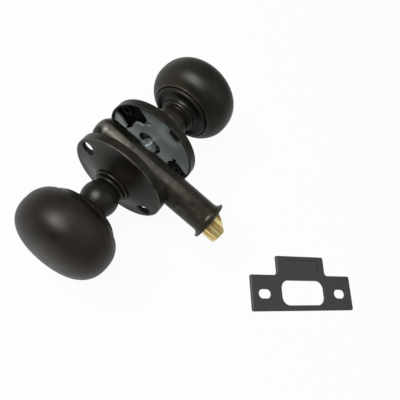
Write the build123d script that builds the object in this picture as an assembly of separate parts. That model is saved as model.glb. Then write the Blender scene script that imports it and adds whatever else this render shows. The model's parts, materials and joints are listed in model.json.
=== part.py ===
"""Knob door latch for a thin door: two ball-necked knobs, two roses, a tubular latch and its strike.

The knob axis runs along Y and the latch tube along X. They cross at the origin, inside the hub.
The bolt points to +X, the front knob lies on the -Y side and +Z is up. Sizes are in millimetres.
"""

import os
from math import asin, atan2, cos, degrees, radians, sin, sqrt

from build123d import *

# Door and roses
door_thickness = 22.4
rose_radius = 25.4
rose_wall = 0.9
rose_rim_height = 4.6
rose_dish_rise = 3.6
rose_seat_radius = 10.2
rose_dish_sag = 1.0
rose_edge_fillet = 0.6

# Rose screws, set on a line through the knob axis
screw_setback = 4.6
screw_line_angle = 161.2
screw_hole_radius = 2.75
screw_sink_radius = 4.0
screw_sink_depth = 0.9
screw_pad_radius = 4.6
screw_pad_thickness = 0.85
post_radius = 3.1
post_height = 1.2
post_bore_radius = 1.7
post_bore_floor = 0.5

# Star plate that closes the back of each rose
plate_thickness = 1.2
plate_dome = 0.9
plate_recess = 0.4
plate_edge_gap = 0.1
plate_flat_radius = 13.0
plate_rim_width = 4.0
plate_arm_angle = 63.0
plate_edge = 0.25
slot_base = 11.5
slot_half_width = 9.75
slot_relief_radius = 1.2
slot_lobe_radius = 4.6
slot_lobe_centre = 9.4
spindle_slot_half_length = 7.2
spindle_slot_half_width = 5.1
spindle_slot_shift = 0.7
crimp_angle = 71.0
crimp_lobe_radius = 1.5
crimp_reach = 4.0
crimp_thickness = 0.9

# Neck of each knob: barrel, beads and ball
barrel_radius = 7.5
barrel_end_gap = 0.4
seat_gap = 0.1
collar_radius = 9.65
collar_height = 1.5
step_radius = 8.3
step_height = 2.0
bead_waist_depth = 0.8
ball_radius = 9.28
ball_root_radius = 6.8
knob_step_radius = 8.6
knob_step_height = 0.9
knob_cove_radius = 7.9
knob_collar_radius = 9.75
knob_collar_height = 2.7
knob_collar_edge_radius = 8.9
tenon_radius = 6.0

# Parts that hold the neck in its rose
washer_thickness = 0.8
washer_edge_gap = 0.2
ring_thickness = 1.0
ring_radius = 9.2
ring_groove_depth = 0.8
ring_groove_gap = 0.03
ring_opening_angle = 70.0

# Knob shell and its backing dish
knob_radius = 23.9
knob_front_depth = 15.7
knob_front_power = 2.64
knob_depth_power = 2.5
knob_back_power = 2.3
knob_back_round = 2.2
knob_lip_slope = 0.9
knob_lip_depth = 11.4
knob_lip_width = 0.85
knob_lip_wall = 0.95
knob_lip_bead = 0.5
knob_lip_bead_height = 0.35
knob_wall = 1.2
mouth_gap = 0.45
flange_width = 0.5
flange_thickness = 1.0
back_bead_radius = 15.85
back_bead_round = 1.1
bead_setback = 0.4
bead_to_lip = 1.85
back_wall = 1.3
back_dish_depth = 1.9
back_flat_width = 0.1

# Spindle and hub
spindle_side = 6.35
spindle_chamfer = 0.45
spindle_in_socket = 15.0
socket_end_gap = 0.5
socket_clearance = 0.05
running_clearance = 0.05
fit_gap = 0.02
hub_half_length = 7.0
lobe_height = 1.3
lobe_half_thickness = 1.3
lobe_half_angle = 12.0
swing_margin = 0.6

# Latch tube
tube_radius = 8.25
tube_wall = 0.9
tube_back = 25.9
tube_end_flat_radius = 1.45
lip_front = 48.9
lip_width = 2.35
lip_bend = 2.8
lip_round = 0.3
bush_wall = 1.4
bush_strap_gap = 0.5

# Draw bar and draw rod
strap_gap = 0.25
strap_thickness = 1.45
strap_half_width = 3.6
strap_tube_gap = 0.15
window_side_gap = 0.4
window_length = 3.9
lobe_gap = 0.2
ear_length = 4.3
draw_plate_front = 17.2
draw_plate_thickness = 1.8
rod_radius = 1.6
rod_head_radius = 3.4
rod_head_thickness = 1.6
rod_head_gap = 0.1

# Bolt and spring
bolt_clearance = 0.08
bolt_tip = 57.2
bolt_length = 22.2
bolt_tip_width = 4.5
bolt_bevel_length = 11.75
bolt_bore_radius = 3.9
bolt_bore_depth = 12.2
bolt_collar_thickness = 1.2
bolt_edge = 0.3
key_angle = 130.0
key_width = 0.8
key_height = 0.35
key_length = 4.0
key_back = 38.0
key_clearance = 0.1
stop_gap = 0.4
stop_thickness = 1.2
stop_hole_gap = 0.3
spring_radius = 4.6
spring_wire = 0.8
spring_turns = 8

# Strike plate, lying flat beside the latch
strike_length = 71.0
strike_width = 21.0
strike_thickness = 1.6
strike_lip_width = 34.4
strike_lip_reach = 11.6
strike_corner = 1.2
strike_lip_corner = 2.0
strike_nose_round = 0.9
strike_edge = 0.25
strike_opening_length = 30.2
strike_opening_width = 14.6
strike_opening_corner = 5.0
strike_recess_length = 25.4
strike_recess_width = 8.4
strike_recess_depth = 0.5
strike_recess_setback = 2.4
strike_screw_spacing = 53.0
strike_screw_offset = 0.6
strike_screw_length = 8.5
strike_screw_radius = 2.7
strike_x = 124.7
strike_y = 17.2
strike_angle = 38.2

# How near two places are to count as the same, when an edge or a corner is looked for
near = 0.01

# Places worked out from the sizes above
door_face = door_thickness / 2
rose_crease = door_face + rose_rim_height
rose_seat = rose_crease + rose_dish_rise
seat_inside = rose_seat - rose_wall
plate_front = door_face + plate_recess
plate_back = plate_front + plate_thickness
barrel_end = plate_back + barrel_end_gap
washer_front = seat_inside - running_clearance
ring_front = washer_front - washer_thickness - running_clearance
neck_start = rose_seat + seat_gap
ball_start = neck_start + collar_height + step_height
ball_centre = ball_start + sqrt(ball_radius**2 - ball_root_radius**2)
ball_end_radius = knob_step_radius - bead_waist_depth
ball_end = ball_centre + sqrt(ball_radius**2 - ball_end_radius**2)
neck_end = ball_end + knob_step_height + knob_collar_height
bead_crest = neck_end + bead_setback
knob_lip = bead_crest + bead_to_lip
knob_equator = knob_lip + knob_lip_depth
mouth_radius = back_bead_radius + mouth_gap
flange_back = knob_lip + knob_lip_wall + fit_gap
flange_radius = mouth_radius + flange_width
tenon_end = neck_end + back_wall + back_dish_depth
spindle_end = barrel_end + spindle_in_socket
tube_bore = tube_radius - tube_wall
tube_dome_radius = tube_radius - tube_end_flat_radius
lip_radius = tube_radius + lip_width
strap_reach = tube_bore - strap_tube_gap
strap_height = strap_reach - strap_thickness
hub_radius = strap_height - strap_gap
lobe_radius = hub_radius + lobe_height
bush_radius = hub_radius + running_clearance + bush_wall
lobe_swing = degrees(asin(sqrt(1 - (strap_height / lobe_radius) ** 2))) - swing_margin
ear_front = lobe_radius * sin(radians(lobe_swing)) - lobe_gap
stop_back = draw_plate_front + stop_gap
bolt_back = bolt_tip - bolt_length
bolt_radius = tube_bore - bolt_clearance
screw_circle_radius = rose_radius - screw_setback
screw_places = [(screw_circle_radius, screw_line_angle + turn) for turn in (0, 180)]


def turned(outline):
    """Turn an outline, drawn as (radius, distance along Y), about the knob axis."""
    return revolve(make_face(outline), Axis.Y)


def turned_x(outline):
    """Turn an outline, drawn as (distance along X, radius), about the tube axis."""
    return revolve(make_face(outline), Axis.X)


def rod_y(radius, start, end):
    """A round bar about the knob axis, from one distance to another."""
    return Pos(0, (start + end) / 2, 0) * Rot(90, 0, 0) * Cylinder(radius, end - start)


def rod_x(radius, start, end):
    """A round bar about the tube axis, from one distance to another."""
    return Pos((start + end) / 2, 0, 0) * Rot(0, 90, 0) * Cylinder(radius, end - start)


def square_y(side, start, end):
    """A square bar about the knob axis, standing on its edge."""
    return Pos(0, (start + end) / 2, 0) * Rot(0, 45, 0) * Box(side, end - start, side)


def at_angle(radius, angle):
    """A place on a circle about the knob axis, with the angle measured from +X towards +Z."""
    return Pos(radius * cos(radians(angle)), 0, radius * sin(radians(angle)))


def rose_form(radius, crease, seat_radius, seat, back):
    """The solid form under a rose's surface: a skirt, then a hollowed dish up to the seat."""
    middle_radius = (radius + seat_radius) / 2
    middle = (crease + seat) / 2 - rose_dish_sag
    return turned(
        [
            Polyline((seat_radius, seat), (0, seat), (0, back), (radius, back), (radius, crease)),
            ThreePointArc((radius, crease), (middle_radius, middle), (seat_radius, seat)),
        ]
    )


def rose(screw_posts):
    """A rose as on the rear side: a thin dished cover with either tapped posts or sunk screw holes."""
    outside = rose_form(rose_radius, rose_crease, rose_seat_radius, rose_seat, door_face)
    rim_edges = outside.edges().filter_by(GeomType.CIRCLE).filter_by_position(
        Axis.Y, rose_crease - near, rose_crease + near
    )
    outside = fillet(rim_edges, rose_edge_fillet)
    inside_radius = rose_radius - rose_wall
    inside = rose_form(
        inside_radius, rose_crease - rose_wall, rose_seat_radius, seat_inside, door_face - 1
    )
    cover = outside - inside
    for radius, angle in screw_places:
        place = at_angle(radius, angle)
        if screw_posts:
            post_end = dish_surface(radius) - rose_wall - post_height
            bore_end = dish_surface(radius + post_bore_radius) - post_bore_floor
            cover += place * rod_y(post_radius, post_end, rose_seat) & outside
            cover -= place * rod_y(post_bore_radius, door_face, bore_end)
        else:
            surface = dish_surface(radius)
            pad_inside = surface - rose_wall - screw_pad_thickness
            cover += place * rod_y(screw_pad_radius, pad_inside, rose_seat) & outside
            cover -= place * rod_y(screw_hole_radius, door_face, rose_seat)
            sink = Cone(screw_sink_radius, screw_hole_radius, screw_sink_depth)
            cover -= place * Pos(0, surface - screw_sink_depth / 2, 0) * Rot(90, 0, 0) * sink
            cover -= place * rod_y(screw_sink_radius, surface, rose_seat)
    cover -= rod_y(barrel_radius + running_clearance, door_face, rose_seat + 1)
    for turn in (0, 180):
        cover += crimp(crimp_angle + turn, inside_radius)
    return cover


def dish_surface(radius):
    """How far out the dish stands at a radius, along the arc of the rose's section."""
    middle_radius = (rose_radius + rose_seat_radius) / 2
    middle = (rose_crease + rose_seat) / 2 - rose_dish_sag
    arc = ThreePointArc((rose_radius, rose_crease), (middle_radius, middle), (rose_seat_radius, rose_seat))
    centre, bend = arc.arc_center, arc.radius
    return centre.Y - sqrt(bend**2 - (radius - centre.X) ** 2)


def crimp(angle, inside_radius):
    """A tab of the rim with two round lobes, bent over the star plate."""
    root = inside_radius + rose_wall / 2
    lobe_centre = inside_radius - crimp_reach + crimp_lobe_radius
    tab = Pos((root + lobe_centre) / 2, 0) * Rectangle(root - lobe_centre, 4 * crimp_lobe_radius)
    for side in (1, -1):
        tab += Pos(lobe_centre, side * crimp_lobe_radius) * Circle(crimp_lobe_radius)
    tab = Pos(0, plate_rim_front(), 0) * Rot(90, 0, 0) * extrude(tab, crimp_thickness)
    return Rot(0, -angle, 0) * tab & rod_y(root, door_face, rose_crease)


def plate_rim_front():
    """Where the star plate's rim starts, behind its domed middle."""
    return plate_front + plate_dome


def star_plate():
    """The dished plate that is crimped into a rose, with two slots that let the screws pass."""
    radius = rose_radius - rose_wall - plate_edge_gap
    rim = radius - plate_rim_width
    back_rim = plate_rim_front() + plate_thickness
    front_rim = plate_rim_front()
    level = [(1, 0), (1, 0)]
    plate = turned(
        [
            Line((0, plate_front), (plate_flat_radius, plate_front)),
            Spline((plate_flat_radius, plate_front), (rim, front_rim), tangents=level),
            Polyline((rim, front_rim), (radius, front_rim), (radius, back_rim), (rim, back_rim)),
            Spline((plate_flat_radius, plate_back), (rim, back_rim), tangents=level),
            Polyline((plate_flat_radius, plate_back), (0, plate_back), (0, plate_front)),
        ]
    )
    middle = plate_front + plate_thickness
    depth = 6 * plate_thickness
    mouth = rose_radius + 1
    opening = Pos((slot_base + mouth) / 2, 0) * Rectangle(mouth - slot_base, 2 * slot_half_width)
    for side in (1, -1):
        opening += Pos(slot_base, side * slot_half_width) * Circle(slot_relief_radius)
    opening -= Pos(slot_lobe_centre, 0) * Circle(slot_lobe_radius)
    cutter = Pos(0, middle, 0) * Rot(90, 0, 0) * extrude(opening, depth / 2, both=True)
    for turn in (90, 270):
        plate -= Rot(0, -(plate_arm_angle + turn), 0) * cutter
    spindle_slot = Pos(spindle_slot_shift, 0) * SlotCenterToCenter(
        2 * (spindle_slot_half_length - spindle_slot_half_width), 2 * spindle_slot_half_width
    )
    hole = Pos(0, middle, 0) * Rot(90, 0, 0) * extrude(spindle_slot, depth / 2, both=True)
    plate -= Rot(0, -screw_line_angle, 0) * hole
    front_face = plate.faces().filter_by(GeomType.PLANE).sort_by(Axis.Y)[0]
    return fillet(front_face.inner_wires()[0].edges(), plate_edge)


def neck():
    """The turned neck of a knob, from its barrel in the rose to the tenon in the knob's back."""
    step_start = neck_start + collar_height
    collar_waist = collar_radius - bead_waist_depth
    step_waist = step_radius - bead_waist_depth
    far_step = ball_end + knob_step_height
    outline = [
        Polyline(
            (0, barrel_end),
            (barrel_radius, barrel_end),
            (barrel_radius, neck_start),
            (collar_waist, neck_start),
        ),
        ThreePointArc(
            (collar_waist, neck_start),
            (collar_radius, neck_start + collar_height / 2),
            (collar_waist, step_start),
        ),
        Line((collar_waist, step_start), (step_waist, step_start)),
        ThreePointArc(
            (step_waist, step_start), (step_radius, step_start + step_height / 2), (step_waist, ball_start)
        ),
        Line((step_waist, ball_start), (ball_root_radius, ball_start)),
        ThreePointArc(
            (ball_root_radius, ball_start), (ball_radius, ball_centre), (ball_end_radius, ball_end)
        ),
        ThreePointArc(
            (ball_end_radius, ball_end),
            (knob_step_radius, ball_end + knob_step_height / 2),
            (knob_cove_radius, far_step),
        ),
        ThreePointArc(
            (knob_cove_radius, far_step),
            (knob_collar_radius, (far_step + neck_end) / 2),
            (knob_collar_edge_radius, neck_end),
        ),
        Polyline(
            (knob_collar_edge_radius, neck_end),
            (tenon_radius, neck_end),
            (tenon_radius, tenon_end),
            (0, tenon_end),
            (0, barrel_end),
        ),
    ]
    body = turned(outline)
    groove_back = ring_front - ring_thickness - running_clearance
    groove = rod_y(barrel_radius + 1, groove_back, ring_front + running_clearance)
    body -= groove - rod_y(barrel_radius - ring_groove_depth, groove_back - 1, ring_front + 1)
    socket_side = spindle_side + 2 * socket_clearance
    return body - square_y(socket_side, barrel_end - 1, spindle_end + socket_end_gap)


def thrust_washer():
    """The washer between the rose's seat and the retaining ring."""
    back = washer_front - washer_thickness
    disc = rod_y(rose_seat_radius - washer_edge_gap, back, washer_front)
    return disc - rod_y(barrel_radius + running_clearance, back - 1, washer_front + 1)


def retaining_ring():
    """The open spring ring that sits in the barrel's groove."""
    back = ring_front - ring_thickness
    inner = barrel_radius - ring_groove_depth + ring_groove_gap
    ring = rod_y(ring_radius, back, ring_front) - rod_y(inner, back - 1, ring_front + 1)
    reach = 2 * ring_radius
    half_mouth = reach * sin(radians(ring_opening_angle / 2))
    mouth = Polyline((0, 0), (reach, half_mouth), (reach, -half_mouth), (0, 0))
    wedge = Pos(0, ring_front, 0) * Rot(90, 0, 0) * extrude(make_face(mouth), 2 * ring_thickness, both=True)
    return ring - wedge


def knob_form(radius, front_depth, lip_radius, lip):
    """A knob's solid form: a full round front, and a back that comes in to the lip."""

    def front_point(angle):
        across = cos(radians(angle)) ** (2 / knob_front_power)
        out = sin(radians(angle)) ** (2 / knob_depth_power)
        return (radius * across, knob_equator + front_depth * out)

    def back_point(share):
        across = (1 - (lip_share * share) ** knob_back_power) ** (1 / knob_back_round)
        return (radius * across, knob_equator - (knob_equator - lip) * share)

    lip_share = (1 - (lip_radius / radius) ** knob_back_round) ** (1 / knob_back_power)
    points = [back_point(share) for share in (1.0, 0.8, 0.55, 0.3)]
    points.append((radius, knob_equator))
    points += [front_point(angle) for angle in (12, 24, 36, 48, 60, 71, 80, 86)]
    apex = (0, knob_equator + front_depth)
    curve = Spline(*points, apex, tangents=[(knob_lip_slope, 1), (-1, 0)])
    return turned([curve, Polyline(apex, (0, lip), (lip_radius, lip))])


def knob_shell():
    """The hollow knob, open at the back where its lip closes over the backing dish."""
    outer = knob_form(knob_radius, knob_front_depth, mouth_radius + knob_lip_width, knob_lip)
    inner = knob_form(
        knob_radius - knob_wall,
        knob_front_depth - knob_wall,
        flange_radius + fit_gap,
        knob_lip + knob_lip_wall,
    )
    shell = outer - inner - rod_y(mouth_radius, knob_lip - 1, flange_back)
    bead = Circle(knob_lip_bead)
    bead_place = Pos(mouth_radius + knob_lip_bead, knob_lip - knob_lip_bead_height + knob_lip_bead)
    return shell + revolve(bead_place * bead, Axis.Y)


def knob_back():
    """The backing dish, with the bead that shows inside the knob's mouth."""
    floor = neck_end + back_dish_depth
    hole = tenon_radius + fit_gap
    seat = neck_end + fit_gap
    flat_radius = knob_collar_edge_radius + back_flat_width
    inner_bead = back_bead_radius - 2 * back_bead_round
    bead_side = bead_crest + back_bead_round
    outline = [
        Polyline((hole, tenon_end), (hole, seat), (flat_radius, seat)),
        ThreePointArc((flat_radius, seat), ((flat_radius + inner_bead) / 2, floor), (inner_bead, bead_side)),
        ThreePointArc(
            (inner_bead, bead_side),
            (inner_bead + back_bead_round, bead_crest),
            (back_bead_radius, bead_side),
        ),
        Polyline(
            (back_bead_radius, bead_side),
            (back_bead_radius, flange_back),
            (flange_radius, flange_back),
            (flange_radius, flange_back + flange_thickness),
            (hole, tenon_end),
        ),
    ]
    return turned(outline)


def spindle():
    """The square bar that joins the two knobs through the hub."""
    bar = square_y(spindle_side, -spindle_end, spindle_end)
    return chamfer(bar.edges().filter_by(Axis.Y), spindle_chamfer)


def hub():
    """The hub in the tube, with two lobes that lean towards the bolt by the same angle."""
    barrel = rod_y(hub_radius, -hub_half_length, hub_half_length)
    lobe_middle = 90 - lobe_swing - lobe_half_angle
    for side in (1, -1):
        arms = [
            (lobe_radius * cos(radians(angle)), lobe_radius * sin(radians(angle)))
            for angle in (side * lobe_middle - lobe_half_angle, side * lobe_middle + lobe_half_angle)
        ]
        tip = (lobe_radius * cos(radians(lobe_middle)), side * lobe_radius * sin(radians(lobe_middle)))
        lobe = make_face([Polyline(arms[1], (0, 0), arms[0]), ThreePointArc(arms[0], tip, arms[1])])
        barrel += Rot(90, 0, 0) * extrude(lobe, lobe_half_thickness, both=True)
    side_length = spindle_side + 2 * socket_clearance
    return barrel - square_y(side_length, -hub_half_length - 1, hub_half_length + 1)


def latch_tube():
    """The drawn tube with its domed back end, its flared lip and the side holes for the hub's bushes."""

    def tube_form(radius, back, dome, bend):
        straight_end = lip_front - lip_bend - tube_wall
        bend_centre = radius + bend
        outline = [
            Polyline((straight_end, radius), (-back + dome, radius)),
            RadiusArc((-back + dome, radius), (-back, radius - dome), -dome),
            Polyline((-back, radius - dome), (-back, 0), (lip_front + 1, 0), (lip_front + 1, bend_centre)),
            Line((lip_front + 1, bend_centre), (straight_end + bend, bend_centre)),
            RadiusArc((straight_end + bend, bend_centre), (straight_end, radius), bend),
        ]
        return turned_x(outline)

    inner_bend = lip_bend + tube_wall
    shell = tube_form(tube_radius, tube_back, tube_dome_radius, lip_bend)
    shell -= tube_form(tube_bore, tube_back - tube_wall, tube_dome_radius - tube_wall, inner_bend)
    blank = rod_x(lip_radius, -tube_back - 1, lip_front)
    shell &= fillet(blank.edges().filter_by(GeomType.CIRCLE).sort_by(Axis.X)[-1], lip_round)
    shell -= rod_y(bush_radius, -tube_radius - 1, tube_radius + 1)
    rib = Box(key_length, key_width, 2 * key_height + tube_wall / 2)
    place = Rot(key_angle - 90, 0, 0) * Pos(key_back + key_length / 2, 0, tube_bore + tube_wall / 4)
    return shell + place * rib


def hub_bush():
    """The ring that carries one end of the hub, dressed flush with the tube."""
    start = strap_half_width + bush_strap_gap
    ring = rod_y(bush_radius - fit_gap, start, tube_radius)
    ring -= rod_y(hub_radius + running_clearance, start - 1, tube_radius + 1)
    return ring & rod_x(tube_radius, -tube_radius, tube_radius)


def draw_bar():
    """The stirrup around the hub: two straps with windows for the lobes, and a plate for the rod."""
    plate_back_x = draw_plate_front - draw_plate_thickness
    round_bar = rod_x(strap_reach, ear_front - ear_length, draw_plate_front)
    length = draw_plate_front - ear_front + ear_length
    block = Box(length, 2 * strap_half_width, strap_reach)
    middle = (draw_plate_front + ear_front - ear_length) / 2
    bar = rod_x(strap_reach, plate_back_x, draw_plate_front)
    for side in (1, -1):
        strap = round_bar & Pos(middle, 0, side * (strap_height + strap_reach / 2)) * block
        window = Box(window_length, 2 * (lobe_half_thickness + window_side_gap), 2 * tube_radius)
        bar += strap - Pos(ear_front + window_length / 2, 0, side * tube_radius) * window
    return bar - rod_x(rod_radius, plate_back_x - 1, draw_plate_front + 1)


def draw_rod():
    """The rod riveted in the draw bar's plate, with the head that pulls the bolt."""
    head_back = bolt_back + bolt_collar_thickness + rod_head_gap
    head_front = head_back + rod_head_thickness
    shaft = rod_x(rod_radius, draw_plate_front - draw_plate_thickness, head_front)
    return shaft + rod_x(rod_head_radius, head_back, head_front)


def latch_bolt():
    """The brass bolt: bevelled on the rear side, bored for the draw rod and grooved for the tube's key."""
    body = rod_x(bolt_radius, bolt_back, bolt_tip)
    body = chamfer(body.edges().filter_by(GeomType.CIRCLE), bolt_edge)
    bevel = Polyline(
        (bolt_tip - bolt_bevel_length, bolt_radius),
        (bolt_tip, bolt_tip_width - bolt_radius),
        (bolt_tip + 1, bolt_tip_width - bolt_radius),
        (bolt_tip + 1, bolt_radius + 1),
        (bolt_tip - bolt_bevel_length, bolt_radius + 1),
        (bolt_tip - bolt_bevel_length, bolt_radius),
    )
    body -= extrude(make_face(bevel), bolt_radius + 1, both=True)
    body -= rod_x(bolt_bore_radius, bolt_back - 1, bolt_back + bolt_bore_depth)
    groove_width = key_width + 2 * key_clearance
    groove_depth = key_height + key_clearance
    groove = Box(bolt_length + 2, groove_width, 2 * groove_depth)
    place = Rot(key_angle - 90, 0, 0) * Pos((bolt_back + bolt_tip) / 2, 0, bolt_radius)
    return body - place * groove


def bolt_collar():
    """The ring pressed into the bolt's bore, which the rod's head pulls on."""
    end = bolt_back + bolt_collar_thickness
    hole = rod_x(rod_radius + running_clearance, bolt_back - 1, end + 1)
    return rod_x(bolt_bore_radius, bolt_back, end) - hole


def stop_disc():
    """The disc staked in the tube, which carries the back end of the bolt spring."""
    disc = rod_x(tube_bore, stop_back, stop_back + stop_thickness)
    return disc - rod_x(rod_radius + stop_hole_gap, stop_back - 1, stop_back + stop_thickness + 1)


def bolt_spring():
    """The spring between the stop disc and the bolt."""
    start = stop_back + stop_thickness + spring_wire / 2
    end = bolt_back - spring_wire / 2
    path = Helix((end - start) / spring_turns, end - start, spring_radius)
    section = Plane(path @ 0, z_dir=path % 0) * Circle(spring_wire / 2)
    return Pos(start, 0, 0) * Rot(0, 90, 0) * sweep(section, path=path)


def strike_plate():
    """The T-shaped strike, with the hole for the bolt, a pressed recess on its lip and two screw holes."""
    lip_edge = strike_width / 2 + strike_lip_reach
    lip = Pos(0, lip_edge / 2) * Rectangle(strike_lip_width, lip_edge)
    outline = Rectangle(strike_length, strike_width) + lip
    roots = [corner for corner in outline.vertices() if is_lip_root(corner)]
    outline = fillet(roots, strike_lip_corner)
    tips = [corner for corner in outline.vertices() if is_plate_corner(corner, lip_edge)]
    outline = fillet(tips, strike_corner)
    outline -= RectangleRounded(strike_opening_length, strike_opening_width, strike_opening_corner)
    for side in (1, -1):
        place = Pos(side * strike_screw_spacing / 2, -strike_screw_offset)
        outline -= place * SlotOverall(strike_screw_length, 2 * strike_screw_radius)
    plate = extrude(outline, strike_thickness)
    nose = plate.edges().filter_by(Axis.X).sort_by(Axis.Y)[-2:].sort_by(Axis.Z)[-1]
    plate = fillet(nose, strike_nose_round)
    top = plate.faces().filter_by(GeomType.PLANE).sort_by(Axis.Z)[-1]
    rims = [edge for edge in top.edges() if edge.center().Y < lip_edge - strike_corner]
    plate = fillet(rims, strike_edge)
    recess = Box(strike_recess_length, strike_recess_width, 2 * strike_recess_depth)
    recess_middle = lip_edge - strike_recess_setback - strike_recess_width / 2
    plate -= Pos(0, recess_middle, strike_thickness) * recess
    return Pos(strike_x, strike_y, -rose_radius) * Rot(0, 0, strike_angle) * plate


def is_lip_root(corner):
    """True for the two inner corners where the strike's lip leaves its plate."""
    at_side = abs(abs(corner.X) - strike_lip_width / 2) < near
    return at_side and abs(corner.Y - strike_width / 2) < near


def is_plate_corner(corner, lip_edge):
    """True for the outer corners of the strike's plate and of its lip."""
    at_end = abs(abs(corner.X) - strike_length / 2) < near
    at_tip = abs(corner.Y - lip_edge) < near
    return at_end or at_tip


def front(shape):
    """The front copy of a piece that is drawn on the rear side."""
    return mirror(shape, about=Plane.XZ)


def build_parts():
    """Every piece of the latch, by name."""
    rear_pieces = {
        "knob": knob_shell(),
        "knob_back": knob_back(),
        "neck": neck(),
        "thrust_washer": thrust_washer(),
        "retaining_ring": retaining_ring(),
        "star_plate": star_plate(),
        "hub_bush": hub_bush(),
    }
    pieces = {}
    for name, piece in rear_pieces.items():
        pieces["rear_" + name] = piece
        pieces["front_" + name] = front(piece)
    pieces["rear_rose"] = rose(screw_posts=True)
    pieces["front_rose"] = front(rose(screw_posts=False))
    pieces["spindle"] = spindle()
    pieces["hub"] = hub()
    pieces["latch_tube"] = latch_tube()
    pieces["stop_disc"] = stop_disc()
    pieces["draw_bar"] = draw_bar()
    pieces["draw_rod"] = draw_rod()
    pieces["latch_bolt"] = latch_bolt()
    pieces["bolt_collar"] = bolt_collar()
    pieces["bolt_spring"] = bolt_spring()
    pieces["strike_plate"] = strike_plate()
    return pieces


os.makedirs("parts", exist_ok=True)
for name, piece in build_parts().items():
    export_step(piece, f"parts/{name}.step")
    print(f"{name}: {piece.volume:.1f} mm3")
print(f"the hub turns {2 * lobe_swing:.1f} degrees")
print(f"the draw bar slides {2 * (ear_front + lobe_gap):.2f} mm")
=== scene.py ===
# %% [markdown]
# # A knob door latch, in dark bronze
# The latch set lies on its side with its strike plate next to it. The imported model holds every
# piece at its real size, in metres, with the knobs' axis along Y and the latch tube along X. All
# of the shapes come from it, so this lesson is about looks. It places the camera, wraps the shader
# nodes in small classes, mixes a coating or a metal for each kind of piece, and ends with the
# floor and the light.

import json
import math

import bmesh
import bpy
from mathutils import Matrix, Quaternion, Vector

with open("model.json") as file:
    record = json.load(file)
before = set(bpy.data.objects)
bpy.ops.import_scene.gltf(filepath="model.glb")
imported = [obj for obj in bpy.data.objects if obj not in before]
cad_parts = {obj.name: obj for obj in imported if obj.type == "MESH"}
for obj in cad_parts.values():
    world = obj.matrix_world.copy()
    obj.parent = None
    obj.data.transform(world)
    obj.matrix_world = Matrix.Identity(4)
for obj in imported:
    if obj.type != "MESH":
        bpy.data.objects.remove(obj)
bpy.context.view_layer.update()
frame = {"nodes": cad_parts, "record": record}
MM = 0.001

# %% [markdown]
# ## The camera
# The view looks steeply down on the set, from the front knob's side, and the camera is rolled so
# that the knob axis runs from the lower left to the upper right. A camera could be turned by
# hand until the picture looks right. Here its place, its target, the roll and the lens were worked
# out from the outlines in a photograph of such a set, so the outlines in the render match them.

# %% Place the camera
camera_place = Vector((18.40, -101.75, 197.96)) * MM
camera_target = Vector((38.34, 5.96, -0.13)) * MM
camera_roll = math.radians(49.97)
camera_lens = 38.94
sensor_width = 36

camera = bpy.data.objects.new("camera", bpy.data.cameras.new("camera"))
bpy.context.scene.collection.objects.link(camera)
camera.data.lens = camera_lens
camera.data.sensor_width = sensor_width
camera.data.clip_start = 10 * MM
camera.location = camera_place
camera.rotation_mode = "QUATERNION"
aim = (camera_target - camera_place).to_track_quat("-Z", "Y")
camera.rotation_quaternion = aim @ Quaternion((0, 0, 1), camera_roll)
bpy.context.scene.camera = camera
print(f"the camera stands {(camera_target - camera_place).length / MM:.0f} mm from its target")

# %% [markdown]
# ## Shader maths that reads like arithmetic
# A pattern is a sum of masks, and masks are easier to read as an expression than as a tangle of
# nodes. A small class wraps a shader socket, so that + and * on it add Math nodes.

# %% Wrap a socket


class Value:
    """A shader value: sums and products on it add Math nodes to its tree."""

    def __init__(self, shading, socket):
        self.shading = shading
        self.socket = socket

    def maths(self, operation, first, second=None):
        inputs = [first] if second is None else [first, second]
        return self.shading.node("ShaderNodeMath", {"operation": operation}, inputs)

    def __add__(self, other):
        return self.maths("ADD", self, other)

    def __sub__(self, other):
        return self.maths("SUBTRACT", self, other)

    def __rsub__(self, other):
        return self.maths("SUBTRACT", other, self)

    def __mul__(self, other):
        return self.maths("MULTIPLY", self, other)

    def __truediv__(self, other):
        return self.maths("DIVIDE", self, other)

    def __abs__(self):
        return self.maths("ABSOLUTE", self)

    def root(self):
        return self.maths("SQRT", self)

    __radd__ = __add__
    __rmul__ = __mul__


print("a Value adds Math nodes")

# %% [markdown]
# Every other node comes from one method. It sets a node's own settings first, because they can
# change its sockets, and then fills the sockets with numbers, colours or links. A Shading does
# this for any node tree, and a Finish is the Shading of a material.

# %% Wrap a node tree


class Shading:
    """The nodes of a material or of the world, every one of them made by one method."""

    def __init__(self, owner):
        owner.use_nodes = True
        self.tree = owner.node_tree

    def node(self, kind, settings=None, inputs=None, output=0):
        made = self.tree.nodes.new(kind)
        for key, value in (settings or {}).items():
            setattr(made, key, value)
        pairs = inputs.items() if isinstance(inputs, dict) else enumerate(inputs or [])
        for key, value in pairs:
            self.feed(made.inputs[key], value)
        return Value(self, made.outputs[output])

    def feed(self, socket, value):
        if isinstance(value, Value):
            self.tree.links.new(value.socket, socket)
        else:
            socket.default_value = value

    def ray(self, kind):
        return self.node("ShaderNodeLightPath", output=f"Is {kind} Ray")


class Finish(Shading):
    """A material, and the shader that its patterns feed."""

    def __init__(self, name, **settings):
        self.material = bpy.data.materials.new(name)
        super().__init__(self.material)
        self.shader = self.tree.nodes["Principled BSDF"]
        self.set(**settings)

    def set(self, **values):
        for name, value in values.items():
            self.feed(self.shader.inputs[name.replace("_", " ")], value)
        return self.material


print("a Shading makes nodes, and a Finish holds a material")

# %% [markdown]
# ## Patterns that several finishes share
# Worn metal is never one even colour. Three layers of noise stand for what changes over
# centimetres, over millimetres and over the grain of the surface. They read Object coordinates,
# which here are metres in the shared frame, so a pattern has its true size and moves with its
# piece: a scale of 50 gives patches about 20 mm across, and 1500 a grain finer than a millimetre.
# A painted image could do this too, but noise needs no file and is sharp at any distance.

# %% Make noise, and read it
mix_factor, mix_first, mix_second, mix_result = 0, 6, 7, 2  # the colour sockets of a Mix node


def place(finish):
    return finish.node("ShaderNodeTexCoord", output="Object")


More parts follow.
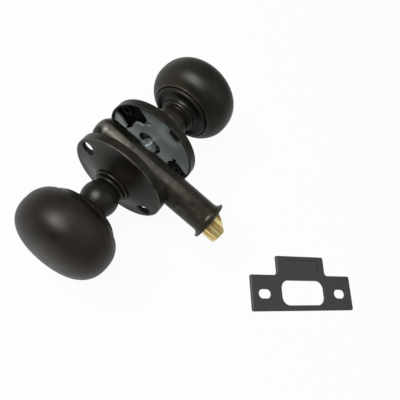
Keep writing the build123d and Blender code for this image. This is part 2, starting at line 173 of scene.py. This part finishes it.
def noise(finish, scale, detail, stretch=None, where=None):
    where = where or place(finish)
    if stretch:
        where = finish.node("ShaderNodeMapping", {}, {"Vector": where, "Scale": stretch})
    inputs = {"Vector": where, "Scale": scale, "Detail": detail}
    return finish.node("ShaderNodeTexNoise", {}, inputs)


def layers(finish, *scales_and_details):
    return [noise(finish, scale, detail) for scale, detail in scales_and_details]


def ramp(finish, value, low, high):
    inputs = {"Value": value, "From Min": low, "From Max": high}
    return finish.node("ShaderNodeMapRange", {"interpolation_type": "SMOOTHSTEP"}, inputs)


print("noise comes in layers, and a ramp makes a mask of it")

# %% Blend colours, swing a level and raise a surface


def blend(finish, factor, first, second):
    inputs = {mix_factor: factor}
    for socket, colour in ((mix_first, first), (mix_second, second)):
        inputs[socket] = (*colour, 1) if isinstance(colour, tuple) else colour
    return finish.node("ShaderNodeMix", {"data_type": "RGBA"}, inputs, output=mix_result)


def uneven(level, *layers_and_swings):
    for layer, swing in layers_and_swings:
        level = level + (layer - 0.5) * swing
    return level


def bump(finish, height, strength, distance_mm):
    inputs = {"Height": height, "Strength": strength, "Distance": distance_mm * MM}
    return finish.node("ShaderNodeBump", {}, inputs)


print("blend, uneven and bump feed a shader's colour, roughness and normal")

# %% [markdown]
# ## Where a point lies on a piece
# The pieces were turned or drawn about one of two axes, so wear is easy to place: a point's
# distance to the knob axis, and how far along it lies, tell a bead from a groove. These are worked
# out in millimetres. A band is a mask that is 1 between two distances and fades at both.

# %% Measure a point from the axes


def axes(finish):
    where = place(finish)
    parts = [finish.node("ShaderNodeSeparateXYZ", {}, [where], output=part) for part in range(3)]
    return [part / MM for part in parts]


def length(first, second):
    return (first * first + second * second).root()


def from_knob_axis(finish):
    x, y, z = axes(finish)
    return length(x, z), abs(y)


def band(finish, value, low, high, soft):
    rise = ramp(finish, value, low - soft, low + soft)
    fall = ramp(finish, value, high - soft, high + soft)
    return rise * (1 - fall)


print("a point is measured in millimetres from the knob axis and the tube axis")

# %% [markdown]
# ## The dark bronze coating
# The knobs, necks, roses and tube share one dark brown satin coating. It is thin and slightly
# uneven, so its colour drifts between brown and olive over centimetres, its sheen changes with
# it, and a fine grain breaks up every highlight. Where hands and tools rub it, the coating is
# thinner and a lighter brown shows: on the edge of each knob's mouth, and on the beads of each
# neck. A part metallic shader with a low gloss stands for the coat. A clear coat layer over it
# isn't needed, because the real one has no second, sharper highlight. The front knob is a little
# browner than the rear one.

# %% Write the coating's recipe
rubbed_brown = (0.055, 0.043, 0.030)


def coated(name):
    return Finish(name, Metallic=0.3, IOR=1.45, Specular_IOR_Level=0.42)


def bronze_finish(name, dark, light, roughness, rubbed):
    finish = coated(name)
    drift, cloud, grain = layers(finish, (48.0, 3.0), (140.0, 4.0), (1500.0, 2.0))
    patches = ramp(finish, drift, 0.42, 0.64)
    colour = blend(finish, patches * 0.70 + cloud * 0.25, dark, light)
    wear = rubbed(finish) * ramp(finish, cloud, 0.36, 0.60)
    colour = blend(finish, wear, colour, rubbed_brown)
    rough = uneven(roughness, (cloud, 0.16), (grain, 0.12)) - wear * 0.06
    normal = bump(finish, grain, strength=0.25, distance_mm=0.06)
    return finish.set(Base_Color=colour, Roughness=rough, Normal=normal)


print("the bronze recipe is written")

# %% Mix the knobs' and the necks' bronze
mouth_inner, mouth_outer = 16.0, 17.4
mouth_near, mouth_far = 40.0, 44.0
bead_start, bead_top = 9.2, 9.9


def rubbed_knob(finish):
    radius, height = from_knob_axis(finish)
    mouth = band(finish, radius, mouth_inner, mouth_outer, soft=0.2)
    return mouth * ramp(finish, height, mouth_far, mouth_near) * 0.7


def rubbed_neck(finish):
    radius, _ = from_knob_axis(finish)
    return ramp(finish, radius, bead_start, bead_top) * 0.25


olive_dark, olive_light = (0.0066, 0.0062, 0.0048), (0.0220, 0.0190, 0.0118)
brown_dark, brown_light = (0.0074, 0.0061, 0.0050), (0.0250, 0.0188, 0.0132)
neck_dark, neck_light = (0.0066, 0.0062, 0.0049), (0.0215, 0.0180, 0.0115)
knob_rough, neck_rough = 0.42, 0.37
knob_bronze = bronze_finish("knob_bronze", olive_dark, olive_light, knob_rough, rubbed_knob)
brown_bronze = bronze_finish("brown_bronze", brown_dark, brown_light, knob_rough, rubbed_knob)
neck_bronze = bronze_finish("neck_bronze", neck_dark, neck_light, neck_rough, rubbed_neck)
print(f"each knob's bronze takes {len(knob_bronze.node_tree.nodes)} nodes")

# %% [markdown]
# ## The roses
# A rose is pressed from sheet. Outside it wears the same coating, and the crease between its skirt
# and its dish carries a thin pale line, a painted highlight that also stands for rubbed wear.
# Inside, it is painted near black with a purple cast, as painted shade, rough and specked with
# dust. Two materials on one mesh would need its faces picked, and a CAD node's faces are left
# alone. So one material tells the sides apart: a point is inside when it lies nearer to the door
# than the middle of the sheet, and that middle follows the dish's arc.

# %% Find the inside of a rose, its crease highlight and its rubbed rim
rose_edge = 25.4
rose_sheet = 0.9
crease = 15.8
arc_radius, arc_out, arc_bend = 24.9, 47.6, 31.8
rim_start, rim_end = 11.3, 11.7


def inside_rose(finish):
    radius, height = from_knob_axis(finish)
    depth = length(radius - arc_radius, height - arc_out)
    under_dish = ramp(finish, depth, arc_bend + 0.4 * rose_sheet, arc_bend + 0.6 * rose_sheet)
    skirt_inside, skirt_middle = rose_edge - 0.7 * rose_sheet, rose_edge - 0.4 * rose_sheet
    return under_dish * (1 - ramp(finish, radius, skirt_inside, skirt_middle))


# The crease line is a painted highlight that also stands for rubbed wear; the back rim's line is
# rubbed wear.
def crease_highlight_and_rim_wear(finish):
    radius, height = from_knob_axis(finish)
    line = band(finish, height, crease - 0.6, crease + 0.25, soft=0.2)
    line = line * ramp(finish, radius, rose_edge - 0.7, rose_edge - 0.3)
    rim = 1 - ramp(finish, height, rim_start, rim_end)
    rim = rim * ramp(finish, radius, rose_edge - 0.6, rose_edge - 0.4)
    return line * 0.8 + rim * 0.6


print("a rose's inside, crease and rim have their masks")

# %% Mix the roses' two sides
rose_dark, rose_light = (0.0052, 0.0047, 0.0036), (0.0205, 0.0162, 0.0102)
# The worn colour below is rubbed wear on the rim and a painted highlight on the crease.
rose_speck, rose_worn_and_highlight = (0.050, 0.040, 0.028), (0.085, 0.079, 0.064)
# The near black inside the rose is painted shade; the paler specks are real dust.
painted_shade_black, inside_dust = (0.0075, 0.0062, 0.0085), (0.085, 0.080, 0.085)


def rose_finish(name):
    finish = coated(name)
    drift, cloud, grain = layers(finish, (60.0, 3.0), (190.0, 4.0), (1500.0, 2.0))
    specks, dust = layers(finish, (700.0, 2.0), (2600.0, 1.0))
    patches = ramp(finish, drift, 0.36, 0.66)
    colour = blend(finish, patches * 0.6 + cloud * 0.4, rose_dark, rose_light)
    colour = blend(finish, ramp(finish, specks, 0.55, 0.70) * 0.22, colour, rose_speck)
    # The pale crease line blended in here is a painted highlight as well as rubbed wear.
    wear = crease_highlight_and_rim_wear(finish) * ramp(finish, cloud, 0.30, 0.55)
    colour = blend(finish, wear, colour, rose_worn_and_highlight)
    hidden = inside_rose(finish)
    # The near-black colour inside the rose is painted shade, specked with real dust.
    shade_and_dust = blend(finish, ramp(finish, dust, 0.66, 0.74) * 0.5, painted_shade_black, inside_dust)
    colour = blend(finish, hidden, colour, shade_and_dust)
    rough = uneven(0.38, (cloud, 0.20), (grain, 0.12)) + hidden * 0.40
    normal = bump(finish, grain + cloud * 0.4, strength=0.25, distance_mm=0.07)
    return finish.set(Base_Color=colour, Roughness=rough, Normal=normal)


rose_bronze = rose_finish("rose_bronze")
print(f"the roses' two sides take {len(rose_bronze.node_tree.nodes)} nodes")

# %% [markdown]
# ## The tube
# The tube is the piece that slides into the door. Its coating is scuffed in streaks along its
# length, carries a painted highlight in places along its crown, and is scratched slantwise near the
# lip.
# Streaks are noise that is squeezed across the tube, and scratches are noise squeezed far more and
# turned a little. Too much squeeze would look like wood, so the streaks have only a little.

# %% Find the tube's crown highlight and its scratches
crown_side, crown_top, crown_soft = -2.9, 0.5, 1.0


# The pale band along the crown is a painted highlight.
def crown_highlight(finish, x, y, z):
    crown = band(finish, y, crown_side, crown_top, crown_soft) * ramp(finish, z, 0.0, 1.0)
    back_end = band(finish, x, -25.0, -9.0, soft=4.0)
    middle = band(finish, x, -20.0, 30.0, soft=8.0)
    return crown * (back_end * 0.6 + middle * 0.6)


def slant_scratches(finish, x):
    inputs = {"Vector": place(finish), "Rotation": (0.5, 0.3, 0.8)}
    slant = finish.node("ShaderNodeMapping", {}, inputs)
    lines = noise(finish, 160.0, 2.0, (0.7, 14.0, 14.0), slant)
    return ramp(finish, lines, 0.60, 0.66) * ramp(finish, x, 24.0, 40.0)


print("the tube's crown and its scratches have their masks")

# %% Mix the tube's scuffed coating
tube_dark, tube_light = (0.0060, 0.0056, 0.0048), (0.0245, 0.0208, 0.0142)
# The scuff colour paints real scuffs and also the crown's painted highlight.
tube_speck, tube_scuff_and_highlight = (0.070, 0.060, 0.046), (0.150, 0.143, 0.122)
tube_scratch, tube_lip = (0.11, 0.10, 0.085), (0.055, 0.052, 0.052)
lip_start, lip_edge = 9.6, 10.4


def tube_finish(name):
    finish = coated(name)
    x, y, z = axes(finish)
    drift, cloud, grain = layers(finish, (70.0, 3.0), (260.0, 5.0), (1700.0, 2.0))
    colour = blend(finish, ramp(finish, drift, 0.36, 0.64), tube_dark, tube_light)
    specks = ramp(finish, noise(finish, 850.0, 2.0), 0.56, 0.70)
    colour = blend(finish, specks * 0.35, colour, tube_speck)
    streak = noise(finish, 90.0, 5.0, (1.0, 2.6, 2.6))
    scuffs_and_highlight = ramp(finish, streak, 0.50, 0.68) * ramp(finish, cloud, 0.40, 0.62) * 0.38
    # The crown's band added to the scuffs here is a painted highlight.
    scuffs_and_highlight = scuffs_and_highlight + crown_highlight(finish, x, y, z) * (cloud + 0.3)
    colour = blend(finish, scuffs_and_highlight * 0.9, colour, tube_scuff_and_highlight)
    scratches = slant_scratches(finish, x)
    colour = blend(finish, scratches * 0.45, colour, tube_scratch)
    lip = ramp(finish, length(y, z), lip_start, lip_edge) * ramp(finish, cloud, 0.35, 0.55)
    colour = blend(finish, lip * 0.6, colour, tube_lip)
    rough = uneven(0.31, (cloud, 0.24), (grain, 0.12)) - scuffs_and_highlight * 0.04
    height = grain * 0.6 + cloud * 0.8 + scratches * -0.4
    normal = bump(finish, height, strength=0.30, distance_mm=0.07)
    return finish.set(Base_Color=colour, Roughness=rough, Normal=normal)


tube_bronze = tube_finish("tube_bronze")
print(f"the tube's wear takes {len(tube_bronze.node_tree.nodes)} nodes")

# %% [markdown]
# ## The strike plate
# The strike has a flat dark grey coating with a faint violet cast, almost even. Only the upper
# edges of the plate carry a painted highlight, a thin paler line. A bevel shader could find every
# corner, but all of these lie at one height, so a band of height does it.

# %% Mix the strike's grey
strike_dark, strike_light = (0.0330, 0.0315, 0.0375), (0.0500, 0.0485, 0.0555)
# The paler grey below paints a highlight along the top edges.
strike_edge_highlight = (0.085, 0.083, 0.090)
corner_low, corner_high = -24.12, -23.86


def strike_finish(name):
    finish = Finish(name, Metallic=0.2, IOR=1.45)
    _, _, z = axes(finish)
    drift, cloud, grain = layers(finish, (30.0, 2.0), (220.0, 4.0), (1900.0, 2.0))
    colour = blend(finish, drift * 0.6 + cloud * 0.4, strike_dark, strike_light)
    # This band of height paints a highlight along the top edges.
    edge_highlight = band(finish, z, corner_low, corner_high, soft=0.05)
    colour = blend(finish, edge_highlight * 0.5, colour, strike_edge_highlight)
    rough = uneven(0.50, (cloud, 0.14), (grain, 0.14))
    normal = bump(finish, grain + cloud * 0.3, strength=0.25, distance_mm=0.06)
    return finish.set(Base_Color=colour, Roughness=rough, Normal=normal)


strike_grey = strike_finish("strike_grey")
print(f"the strike's grey takes {len(strike_grey.node_tree.nodes)} nodes")

# %% [markdown]
# ## Bare metals
# The plates that close the roses are dull zinc, mottled by the plating bath and blue-green in the
# shade, with shallow pressed hollows round their two tabs and a painted highlight on each hollow.
# The plating is rough, so it is only part metallic: a full metal would turn black wherever the room
# is dark.

# %% Mix the zinc
tab_x, tab_z = 6.7, 19.4
hollow_inner, hollow_outer = 3.8, 7.4
zinc_dark, zinc_light = (0.20, 0.245, 0.235), (0.38, 0.435, 0.42)
# The pale pressed colour paints a highlight on the hollows round the tabs.
zinc_spot, zinc_hollow_highlight = (0.12, 0.135, 0.13), (0.52, 0.60, 0.55)


# The rings round the tabs are a painted highlight in the colour; in the bump they shape the
# hollows.
def hollow_highlights_round_tabs(finish):
    x, _, z = axes(finish)
    hollows_and_highlights = 0.0
    for side in (1, -1):
        radius = length(x - side * tab_x, z - side * tab_z)
        hollows_and_highlights = hollows_and_highlights + band(finish, radius, hollow_inner, hollow_outer, soft=1.6)
    return hollows_and_highlights


def zinc_finish(name):
    finish = Finish(name, Metallic=0.6)
    drift, cloud, grain = layers(finish, (90.0, 3.0), (420.0, 4.0), (2200.0, 2.0))
    colour = blend(finish, drift * 0.7 + cloud * 0.3, zinc_dark, zinc_light)
    spots = ramp(finish, noise(finish, 700.0, 2.0), 0.60, 0.70)
    colour = blend(finish, spots * 0.30, colour, zinc_spot)
    hollows_and_highlights = hollow_highlights_round_tabs(finish)
    # The pale rings blended in here are a painted highlight.
    colour = blend(finish, hollows_and_highlights * 0.45, colour, zinc_hollow_highlight)
    rough = uneven(0.50, (cloud, 0.24), (drift, 0.12))
    normal = bump(finish, grain + cloud + hollows_and_highlights * 3.0, strength=0.3, distance_mm=0.06)
    return finish.set(Base_Color=colour, Roughness=rough, Normal=normal)


zinc = zinc_finish("zinc")
print(f"the zinc takes {len(zinc.node_tree.nodes)} nodes")

# %% [markdown]
# The spindle is brighter, with fine marks drawn along it, and its light and dark bands also paint
# the reflections of its facets. The springs and rings are plain spring steel. The bolt is brass,
# drawn lengthwise, so its marks run along the tube, and its light and dark stripes are painted
# reflections as well as drawing marks. A drawn metal's marks are noise that is squeezed across the
# drawing. On an end face they would turn to coarse spots, so a mask from the normal puts a fine
# cloud there in their place.

# %% Mix the drawn metals
end_start, end_full = 0.75, 0.95


def drawn_metal(name, dark, light, roughness, stretch, spread=0.25, bare=1.0):
    finish = Finish(name, Metallic=bare)
    marks_and_reflections = noise(finish, 90.0, 4.0, stretch)
    cloud = noise(finish, 260.0, 3.0)
    normal = finish.node("ShaderNodeTexCoord", output="Normal")
    facing = finish.node("ShaderNodeSeparateXYZ", {}, [normal])
    end = ramp(finish, abs(facing), end_start, end_full)
    marks_and_reflections = marks_and_reflections * (1 - end) + uneven(0.5, (cloud, 0.25)) * end
    # On the brass and the spindle these light and dark bands are painted reflections as well as
    # drawing marks.
    shade = ramp(finish, marks_and_reflections, 0.5 - spread / 2, 0.5 + spread / 2)
    colour = blend(finish, shade, dark, light)
    rough = uneven(roughness, (marks_and_reflections, 0.20), (cloud, 0.12))
    normal = bump(finish, marks_and_reflections, strength=0.15, distance_mm=0.05)
    return finish.set(Base_Color=colour, Roughness=rough, Normal=normal)


zinc_shade, zinc_shine = (0.08, 0.10, 0.11), (0.80, 0.86, 0.90)
steel_shade, steel_shine = (0.20, 0.20, 0.21), (0.42, 0.42, 0.43)
# The brass's and the spindle's dark and light colours paint reflection stripes as well as drawn
# marks.
brass_shade, brass_shine = (0.50, 0.34, 0.085), (1.0, 0.87, 0.45)
across_spindle, across_tube = (3, 1, 2), (0.8, 13, 13)
bright_zinc = drawn_metal("bright_zinc", zinc_shade, zinc_shine, 0.16, across_spindle, 0.16, 0.85)
steel = drawn_metal("spring_steel", steel_shade, steel_shine, 0.34, (5, 5, 5))
brass = drawn_metal("brass", brass_shade, brass_shine, 0.24, across_tube, 0.22, 0.80)
print("bright zinc, spring steel and brass are mixed")

# %% [markdown]
# ## Dressing the pieces
# The record names a material slot for each node, and most nodes take their slot's finish. A few
# have a finish of their own, because the real pieces differ within a slot. The shapes stay
# as they are: only the material on each object changes.

# %% Dress the CAD nodes
finish_of_slot = {
    "bronze_finish": knob_bronze,
    "strike_finish": strike_grey,
    "zinc_plated_steel": zinc,
    "spring_steel": steel,
    "bolt_brass": brass,
}
finish_of_node = {
    "front_knob": brown_bronze,
    "front_neck": neck_bronze,
    "rear_neck": neck_bronze,
    "front_rose": rose_bronze,
    "rear_rose": rose_bronze,
    "latch_tube": tube_bronze,
    "spindle": bright_zinc,
    "hub": bright_zinc,
}
for subpart in frame["record"]["subparts"]:
    node = frame["nodes"][subpart["node"]]
    node.data.materials.clear()
    finish = finish_of_node.get(subpart["node"], finish_of_slot[subpart["material_slot"]])
    node.data.materials.append(finish)

# %% [markdown]
# ## The floor
# The set lies on white paper, just under its lowest points. Light that is strong enough to turn
# paper white would also bleach the bronze. So to the camera the paper is almost all its own white
# light, with a small share of real paper that keeps the set's shadow, and the metal mirrors a
# part of that white too.

# %% Cut the paper
floor_drop = 25.45 * MM
floor_reach = 0.45

mesh = bpy.data.meshes.new("floor")
floor = bpy.data.objects.new("floor", mesh)
bpy.context.scene.collection.objects.link(floor)
sheet = bmesh.new()
bmesh.ops.create_grid(sheet, x_segments=1, y_segments=1, size=floor_reach)
bmesh.ops.translate(sheet, verts=sheet.verts, vec=(0, 0, -floor_drop))
sheet.to_mesh(mesh)
sheet.free()
print(f"the paper lies {floor_drop / MM:.2f} mm under the axes")

# %% Whiten the paper
paper_grey = (0.55, 0.55, 0.55, 1)
pure_white = (1, 1, 1, 1)
floor_seen, floor_mirrored = 0.95, 0.42

paper = Finish("floor_white", Roughness=0.9, Base_Color=paper_grey)
seen = (paper.ray("Camera") + paper.ray("Transmission")) * floor_seen
seen = seen + paper.ray("Glossy") * floor_mirrored
white = paper.node("ShaderNodeEmission", {}, {"Color": pure_white, "Strength": 1.0})
lit = Value(paper, paper.shader.outputs["BSDF"])
mixed = paper.node("ShaderNodeMixShader", {}, [seen, lit, white])
paper.feed(paper.tree.nodes["Material Output"].inputs["Surface"], mixed)
mesh.materials.append(paper.material)
print(f"the camera sees {floor_seen:.0%} of white, and metal mirrors {floor_mirrored:.0%}")

# %% [markdown]
# ## The light
# A large, slightly warm lamp hangs high on the left and puts one soft highlight on each round
# piece. A weak, wider one on the right keeps that side from going black. Their power is plain,
# so that a colour renders about as it is written.

# %% Hang the lamps


def lamp(name, place_mm, target_mm, size_mm, watts, colour):
    data = bpy.data.lights.new(name, "AREA")
    data.shape = "DISK"
    data.size = size_mm * MM
    data.energy = watts
    data.color = colour
    made = bpy.data.objects.new(name, data)
    bpy.context.scene.collection.objects.link(made)
    made.location = Vector(place_mm) * MM
    aim = Vector(target_mm) * MM - made.location
    made.rotation_euler = aim.to_track_quat("-Z", "Y").to_euler()
    print(f"{name}: {watts} W, {aim.length / MM:.0f} mm away")


warm, neutral = (1.0, 0.985, 0.95), (1.0, 1.0, 1.0)
lamp("key", (-438, -254, 791), (10, 0, 0), size_mm=600, watts=11.0, colour=warm)
lamp("fill", (500, 300, 700), (60, 0, 0), size_mm=900, watts=1.0, colour=neutral)

# %% [markdown]
# The room behind the paper is white to the camera and dim to everything else, so it fills the
# shadows a little without adding to the lamps. Metal mirrors some of its white.

# %% Fill the room with soft white
room_level = 0.17
room_mirrored = 0.10

world = bpy.data.worlds.new("room")
bpy.context.scene.world = world
room = Shading(world)
dim = room.node("ShaderNodeBackground", {}, {"Color": pure_white, "Strength": room_level})
white = room.node("ShaderNodeBackground", {}, {"Color": pure_white, "Strength": 1.0})
seen = room.ray("Camera") + room.ray("Transmission") + room.ray("Glossy") * room_mirrored
mixed = room.node("ShaderNodeMixShader", {}, [seen, dim, white])
room.feed(room.tree.nodes["World Output"].inputs["Surface"], mixed)
bpy.context.scene.view_settings.view_transform = "Standard"
print(f"the room lights the set at {room_level} and looks white")
